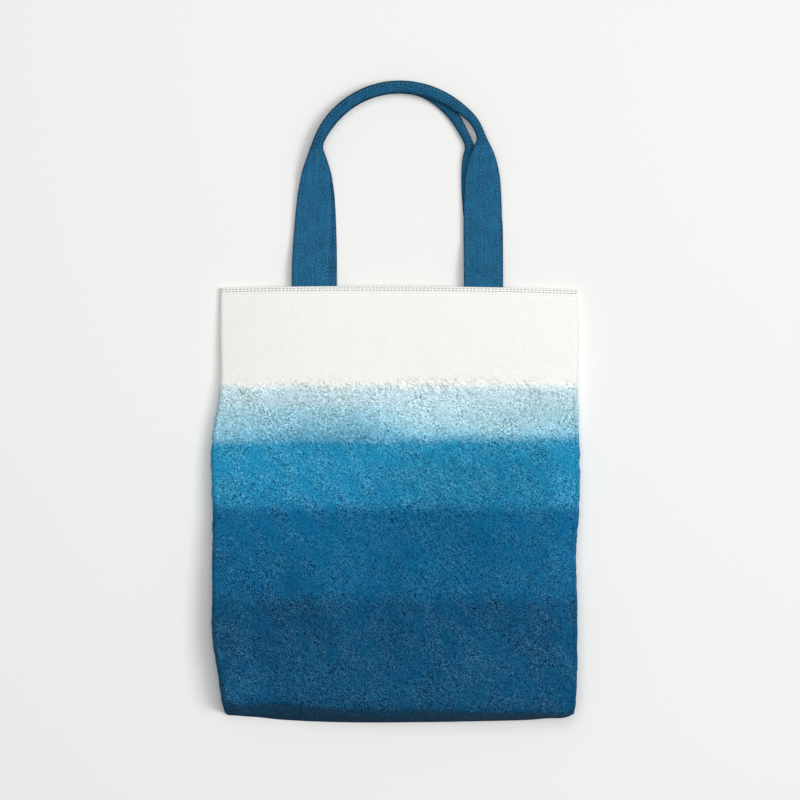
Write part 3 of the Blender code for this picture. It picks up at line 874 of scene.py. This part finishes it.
class TOTE_OT_hem(bpy.types.Operator):
    """Makes the turned hem round the mouth, drawn in a little along its two rows of stitches"""

    bl_idname = "tote_bag.make_hem"
    bl_label = "Make the hem"

    def execute(self, context):
        sizes = context.scene.tote_sizes
        colours = context.scene.tote_colours
        upper, lower = sizes.upper_row, sizes.lower_row
        profile = np.array([
            (HEM_HEIGHT, 0.0006), (HEM_HEIGHT - 0.0001, 0.0000), (HEM_HEIGHT - 0.0006, -0.00022),
            (lower + 0.0010, -0.00022), (lower + 0.0004, 0.00004), (lower, 0.00022),
            (lower - 0.0004, 0.00004), ((upper + lower) / 2, -0.00016), (upper + 0.0004, 0.00004),
            (upper, 0.00022), (upper - 0.0004, 0.00004), (upper - 0.0010, -0.00010),
            (0.0006, 0.00000), (0.00015, 0.00035), (0.0, 0.0009), (0.00015, 0.0016),
            (0.0007, 0.0020), (0.0030, 0.0021), (0.0060, 0.0021), (HEM_HEIGHT, 0.0019),
            (HEM_HEIGHT + 0.0001, 0.0012),
        ])
        band = sack_rings(profile[:, 0] / BODY_LENGTH, profile[:, 1])
        pucker = net_noise(band * (1.0, 2.0, 1.0), 0.0045, 41) * 0.00010
        outer = (np.arange(len(profile)) < 13)[:, None]
        band = band + outward(band) * (pucker * outer)[..., None]
        band[..., 2] = np.maximum(band[..., 2], 0.0)
        index = np.arange(band.shape[0] * band.shape[1]).reshape(band.shape[:2])
        faces = grid_quads(closed_round(np.concatenate([index, index[:1]]))).tolist()
        hem = new_piece("hem_band", band.reshape(-1, 3), faces, undyed_cloth(colours.hem))
        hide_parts("mouth_hem")
        return {"FINISHED"}


class TOTE_OT_hem_stitches(bpy.types.Operator):
    """Sews the two rows of short dark stitches round the hem, each stitch a little askew"""

    bl_idname = "tote_bag.sew_hem"
    bl_label = "Sew the hem"

    def execute(self, context):
        sizes = context.scene.tote_sizes
        colours = context.scene.tote_colours
        random = np.random.default_rng(17)
        centres = []
        along = []
        up = []
        for row, fall in enumerate((sizes.upper_row, sizes.lower_row)):
            down = fall / BODY_LENGTH
            ends = (0.0022 - half_width(-1, down), half_width(1, down) - 0.0022)
            count = int((ends[1] - ends[0]) / sizes.hem_pitch)
            x = np.linspace(*ends, count) + random.normal(0, 0.00016, count)
            slant = random.normal(0.05, 0.13, count) + 0.10 * (-1.0) ** np.arange(count)
            share = share_across(x, down)
            for is_front in (True, False):
                y = wall_y(share, down, 1.0 * is_front, 0.0) + random.normal(0, 0.00010, count)
                if is_front:
                    z = front_z(x, down) + 0.00004
                    slope = (front_z(x + 0.002, down) - front_z(x - 0.002, down)) / 0.004
                else:
                    z = np.full(count, 0.00024)
                    slope = np.zeros(count)
                side = np.full(count, 1.0 if is_front else -1.0)
                centres.append(np.stack([x, y, z], axis=1))
                along.append(np.stack([np.ones(count), slant, slope], axis=1))
                up.append(np.stack([-slope, np.zeros(count), side], axis=1))
        points, faces = thread_stitches(
            np.concatenate(centres), np.concatenate(along), np.concatenate(up),
            sizes.hem_stitch, sizes.thread,
        )
        points[:, 2] = np.maximum(points[:, 2], 0.0)
        thread = sewing_thread("hem_thread", colours.hem_thread)
        stitches = new_piece("hem_stitches", points, faces, thread)
        return {"FINISHED"}


def down_share(x, y):
    """How far down the front a point lies, from 0 at the rim to 1 at the fold."""
    share = share_across(x, 0.0)
    return np.clip((rim_y(share) - y) / (rim_y(share) - fold_y(share)), 0.0, 1.0)


def strap_lift(is_front, x, y, down, thickness):
    """Height of a strap's underside between its neck, its place at the mouth and its tucked end."""
    back_lift = (HEM_WALL + GAP) * ease(*BACK_CLIMB, down)
    if not is_front:
        return back_lift
    rolled = smooth_table(TAPERS, "rolled", down - LOOK_BACK)
    stack = back_lift + STRAP_THICKNESS + (GRIP_THICKNESS - STRAP_THICKNESS) * rolled + GAP
    front_seat = front_z(x, down_share(x, y)) - HEM_WALL - STRAP_SEAT - thickness
    return stack + (front_seat - stack) * ease(*FRONT_CLIMB, down)


def strap_stations(is_front, side, neck, strap_x):
    """Centres, sizes and roll of one strap: from its neck, straight down to its tucked end."""
    drop = neck[1] - MOUTH_Y
    column = "left" if side < 0 else "right"
    y = neck[1] - np.linspace(0, 1, STRAP_STATIONS + 1)[1:] ** CROWDING * (drop + STRAP_TUCK)
    down = (neck[1] - y) / drop
    settled = BACK_SETTLED if side > 0 and not is_front else 1.0
    x = neck[0] + (strap_x - neck[0]) * ease(0.0, settled, down)
    width = STRAP_WIDTH * smooth_table(TAPERS, column, down)
    if settled < 1:
        width = width * (BACK_SLIM + (1 - BACK_SLIM) * ease(0.10, 0.50, down))
    rolled = smooth_table(TAPERS, "rolled", down)
    thickness = STRAP_THICKNESS + (GRIP_THICKNESS - STRAP_THICKNESS) * rolled
    lift = strap_lift(is_front, x, y, down, thickness)
    step = STRAP_WIDTH / 4
    slope = (front_z(x + step, down_share(x, y)) - front_z(x - step, down_share(x, y))) / (2 * step)
    roll = slope * ease(*ROLL_CLIMB, down) * is_front
    return np.stack([x, y, lift, width, thickness, roll, rolled], axis=1)


def arch_stations(is_front):
    """Centres and sizes of the grip, along an arc whose radius shrinks where it is pulled in."""
    along = np.linspace(0, 1, ARCH_STATIONS)
    angle = np.radians(NECK_LEFT_DEG + (NECK_RIGHT_DEG - NECK_LEFT_DEG) * along)
    shift = smooth_table(GRIPS, "push", along) if is_front else -smooth_table(GRIPS, "pull", along)
    radius = ARCH_RADIUS * (1 + shift)
    x = ARCH_SHIFT + radius * np.cos(angle)
    y = ARCH_CENTRE_Y + radius * np.sin(angle)
    lift = np.full_like(x, (GRIP_THICKNESS + GAP) * is_front)
    width = GRIP_WIDTH * smooth_table(GRIPS, "width", along)
    thickness = np.full_like(x, GRIP_THICKNESS)
    return np.stack([x, y, lift, width, thickness, np.zeros_like(x), np.ones_like(x)], axis=1)


def even_stations(handle, is_front):
    """A handle's stations at even steps, each the bell-shaped mean of its neighbours.

    The columns are x, y, lift, width, thickness, roll, how far the strap is rolled, and the length from
    the left end.
    """
    arch = arch_stations(is_front)
    left = strap_stations(is_front, -1, arch[0, :2], handle.left_strap * STRAP_SPREAD)
    right = strap_stations(is_front, 1, arch[-1, :2], handle.right_strap * STRAP_SPREAD)
    rough = np.concatenate([left[::-1], arch, right])
    steps = np.linalg.norm(np.diff(rough[:, :2], axis=0), axis=1)
    length = np.concatenate([[0], np.cumsum(steps)])
    where = np.linspace(0, length[-1], int(length[-1] / STATION_STEP))
    even = np.stack([np.interp(where, length, column) for column in rough.T], axis=1)
    reach = int(3 * STATION_BLUR / STATION_STEP)
    window = np.exp(-0.5 * (np.arange(-reach, reach + 1) * STATION_STEP / STATION_BLUR) ** 2)
    window /= window.sum()
    padded = np.pad(even, ((reach, reach), (0, 0)), mode="reflect", reflect_type="odd")
    soft = np.stack([np.convolve(column, window, "valid") for column in padded.T], axis=1)
    return np.concatenate([soft, where[:, None]], axis=1)


def strap_sides(stations):
    """Unit vectors across the strap at its stations, towards the outside of the arch."""
    tangent = np.gradient(stations[:, :2], axis=0)
    tangent /= np.linalg.norm(tangent, axis=1, keepdims=True)
    return np.stack([-tangent[:, 1], tangent[:, 0]], axis=1), tangent


# Rows of stitches along a strap, as distances from its middle towards the outside of the arch
OUTER_ROW = 0.0138
MIDDLE_ROW = -0.0010
INNER_ROW = -0.0143
GRIP_ROW = 0.0030


def stitch_rows(stations):
    """Distances of the three rows of stitches from the middle at each station."""
    rolled = stations[:, 6]
    middle = MIDDLE_ROW + (GRIP_ROW - MIDDLE_ROW) * ease(0.5, 1.0, rolled)
    return np.stack([np.full_like(middle, OUTER_ROW), middle, np.full_like(middle, INNER_ROW)])


def section_height(stations, share, is_top):
    """Height of a strap's face above its lift at shares of its half width.

    The edge is a superellipse between the flat strap's and the round grip's. The top is drawn in along
    each row of stitches and has soft pleats near the neck. The bottom is hollow where the strap folds.
    """
    width, thickness, rolled = stations[:, 3:4], stations[:, 4:5], stations[:, 6:7]
    flat = ease(0.0, 1.0, (width - GRIP_WIDTH) / (STRAP_WIDTH - GRIP_WIDTH))
    power = GRIP_POWER + (STRAP_POWER - GRIP_POWER) * flat
    bulge = np.clip(1 - np.abs(share) ** (2 / power), 0, 1) ** (power / 2)
    if not is_top:
        hollow = np.clip(thickness - 0.0022, 0, None) * (1 - 0.30 * ease(0.85, 1.0, rolled))
        slit = 0.35 + 0.4 * flat
        inside = 1 - ease(slit * 0.5, slit, np.abs(share))
        return thickness / 2 * (1 - bulge) + hollow * inside
    groove = bpy.context.scene.tote_sizes.groove
    place = share * width / 2
    drawn = np.zeros_like(place)
    for row in stitch_rows(stations):
        inside = 1 - ease(0.86, 1.0, np.abs(row[:, None]) / (width / 2))
        drawn += np.exp(-((place - row[:, None]) / 0.0007) ** 2) * inside
    pleat = np.cos(place / 0.0042 * math.pi) * 0.00035 * ease(0.06, 0.35, rolled)
    pleat = pleat * (1 - 0.6 * ease(0.9, 1.0, rolled)) * bulge
    return thickness / 2 * (1 + bulge) - groove * drawn * bulge + pleat


def strap_shade_and_grip_tone(stations, share):
    """How dark a strap is at shares of its half width: a painted shade line along each edge, painted shade in
    bells along its stitch rows, and a fifth more where it is rolled into the grip.
    """
    half = stations[:, 3:4] / 2
    place = share * half
    dark = 0.34 * ease(0.0, 0.0010, np.abs(place) - half + 0.0016)
    for row in stitch_rows(stations):
        inside = 1 - ease(0.86, 1.0, np.abs(row[:, None]) / half)
        dark = dark + 0.16 * np.exp(-((place - row[:, None]) / 0.0010) ** 2) * inside
    return dark + 0.20 * ease(0.6, 1.0, stations[:, 6:7])


def strap_surface(stations):
    """The strap's closed surface as a grid of stations by section points, with each point's strap place
    and its darkness: painted shade at the edges and stitch rows, and the darker grip.
    """
    half = np.array([
        0.0, 0.03, 0.06, 0.10, 0.18, 0.28, 0.38, 0.48, 0.58, 0.66, 0.70, 0.735, 0.77, 0.805, 0.84, 0.88,
        0.92, 0.95, 0.975, 0.99, 1.0,
    ])
    top = np.concatenate([half[::-1], -half[1:]])
    bottom = np.concatenate([-half[-2:0:-2], half[0:-1:2]])
    side, _ = strap_sides(stations)
    shares = np.concatenate([top, bottom])[None]
    up = np.concatenate(
        [section_height(stations, top[None], True), section_height(stations, bottom[None], False)],
        axis=1,
    )
    across = shares * stations[:, 3:4] / 2
    x = stations[:, :1] + side[:, :1] * across
    y = stations[:, 1:2] + side[:, 1:] * across
    z = stations[:, 2:3] + up + stations[:, 5:6] * (x - stations[:, :1])
    along = np.broadcast_to(stations[:, 7:8], x.shape)
    under = np.broadcast_to(np.where(np.arange(shares.size) < len(top), 0.0, 0.05), x.shape)
    place = np.stack([along, across + 0 * along, under], axis=2)
    return np.stack([x, y, z], axis=2), place, strap_shade_and_grip_tone(stations, shares)


class TOTE_OT_handles(bpy.types.Operator):
    """Makes both handles: flat straps that fold lengthwise to a neck and on to a slim rolled grip"""

    bl_idname = "tote_bag.make_handles"
    bl_label = "Make the handles"

    def execute(self, context):
        twill = indigo_twill(context.scene.tote_colours.strap)
        plan = (("handle_front", FRONT_HANDLE, True), ("handle_back", BACK_HANDLE, False))
        for node, handle, is_front in plan:
            stations = even_stations(handle, is_front)
            grid, place, dark = strap_surface(stations)
            index = np.arange(grid.shape[0] * grid.shape[1]).reshape(grid.shape[:2])
            faces = grid_quads(closed_round(index)).tolist()
            faces += [index[0, ::-1].tolist(), index[-1].tolist()]
            attributes = (("strap_place", place.reshape(-1, 3)), ("strap_shade_and_grip_tone", dark.ravel()))
            strap = new_piece("strap_" + node[7:], grid.reshape(-1, 3), faces, twill, attributes)
            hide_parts(node)
        return {"FINISHED"}


class TOTE_OT_handle_stitches(bpy.types.Operator):
    """Sews the rows of stitches along both handles: near each edge and along the middle to the grip"""

    bl_idname = "tote_bag.sew_handles"
    bl_label = "Sew the handles"

    def execute(self, context):
        sizes = context.scene.tote_sizes
        random = np.random.default_rng(29)
        thread = sewing_thread("strap_thread", context.scene.tote_colours.strap_thread)
        for name, handle, is_front in (("front", FRONT_HANDLE, True), ("back", BACK_HANDLE, False)):
            stations = even_stations(handle, is_front)
            side, tangent = strap_sides(stations)
            length = stations[:, 7]
            parts = []
            for row in stitch_rows(stations):
                shown = np.abs(row) < 0.90 * stations[:, 3] / 2
                share = np.clip(row / (stations[:, 3] / 2), -1, 1)
                up = section_height(stations, share[:, None], True)[:, 0]
                x = stations[:, 0] + side[:, 0] * row
                y = stations[:, 1] + side[:, 1] * row
                z = stations[:, 2] + up + stations[:, 5] * (x - stations[:, 0])
                where = np.arange(0.004, length[-1] - 0.004, sizes.strap_pitch)
                where = where + random.normal(0, 0.00012, len(where))
                where = where[np.interp(where, length, shown.astype(float)) > 0.99]
                columns = (x, y, z, tangent[:, 0], tangent[:, 1], np.gradient(z, length))
                parts.append(np.stack([np.interp(where, length, c) for c in columns], axis=1))
            parts = np.concatenate(parts)
            centres = parts[:, :3] + (0, 0, sizes.thread * 0.30)
            up = np.broadcast_to((0.0, 0.0, 1.0), centres.shape)
            points, faces = thread_stitches(
                centres, parts[:, 3:], up, sizes.strap_stitch, sizes.thread
            )
            stitches = new_piece("strap_stitches_" + name, points, faces, thread)
        return {"FINISHED"}


class TOTE_OT_declare(bpy.types.Operator):
    """An empty step: it does nothing."""

    bl_idname = "tote_bag.declare_cloth"
    bl_label = "Declare the cloth"

    def execute(self, context):
        return {"FINISHED"}


class TOTE_OT_stage(bpy.types.Operator):
    """Sets the pale floor, the soft light from the upper right and the camera straight above"""

    bl_idname = "tote_bag.set_stage"
    bl_label = "Set the stage"

    def execute(self, context):
        scene = context.scene
        scene.view_settings.view_transform = "Standard"
        mesh = bpy.data.meshes.new("floor")
        reach = 4.0
        corners = [(-reach, -reach, 0), (reach, -reach, 0), (reach, reach, 0), (-reach, reach, 0)]
        mesh.from_pydata(corners, [], [(0, 1, 2, 3)])
        material, tree, shader = new_tree("pale_floor", 0.9)
        shader.inputs["Base Color"].default_value = scene.tote_colours.floor
        shader.inputs["Specular IOR Level"].default_value = 0.1
        shader.inputs["Sheen Weight"].default_value = 0.0
        mesh.materials.append(material)
        floor = bpy.data.objects.new("floor", mesh)
        scene.collection.objects.link(floor)

        world = bpy.data.worlds.new("soft_room")
        world.use_nodes = True
        world.node_tree.nodes["Background"].inputs[0].default_value = (1.0, 1.0, 1.0, 1.0)
        world.node_tree.nodes["Background"].inputs[1].default_value = 0.21
        scene.world = world
        for lamp in LAMPS:
            light = bpy.data.lights.new(lamp.name, "AREA")
            light.shape = "SQUARE"
            light.size = lamp.size
            light.energy = lamp.watts
            box = bpy.data.objects.new(lamp.name, light)
            box.location = lamp.place
            box.rotation_euler = box.location.to_track_quat("Z", "Y").to_euler()
            scene.collection.objects.link(box)

        eye = bpy.data.cameras.new("eye")
        eye.sensor_width = 36.0
        eye.lens = 36.0 * (3.0 - 0.012) / 0.744
        camera = bpy.data.objects.new("eye", eye)
        camera.location = (0.0042, 0.0007, 3.0)
        scene.collection.objects.link(camera)
        scene.camera = camera
        return {"FINISHED"}


STEPS = (
    TOTE_OT_body,
    TOTE_OT_hem,
    TOTE_OT_hem_stitches,
    TOTE_OT_handles,
    TOTE_OT_handle_stitches,
    TOTE_OT_declare,
    TOTE_OT_stage,
)


class TOTE_PT_panel(bpy.types.Panel):
    """Lists the bag's sizes, colours and steps in the sidebar"""

    bl_idname = "TOTE_PT_panel"
    bl_label = "Tote bag"
    bl_space_type = "VIEW_3D"
    bl_region_type = "UI"
    bl_category = "Tote bag"

    def draw(self, context):
        for group in (context.scene.tote_sizes, context.scene.tote_colours):
            for name in group.__annotations__:
                self.layout.prop(group, name)
        for step in STEPS:
            self.layout.operator(step.bl_idname)


CLASSES = (ToteSizes, ToteColours, *STEPS, TOTE_PT_panel)


def register():
    for item in CLASSES:
        bpy.utils.register_class(item)
    bpy.types.Scene.tote_sizes = bpy.props.PointerProperty(type=ToteSizes)
    bpy.types.Scene.tote_colours = bpy.props.PointerProperty(type=ToteColours)


def unregister():
    del bpy.types.Scene.tote_colours
    del bpy.types.Scene.tote_sizes
    for item in reversed(CLASSES):
        bpy.utils.unregister_class(item)


def main():
    register()
    for step in STEPS:
        group, name = step.bl_idname.split(".")
        getattr(getattr(bpy.ops, group), name)()


if __name__ == "__main__":
    main()
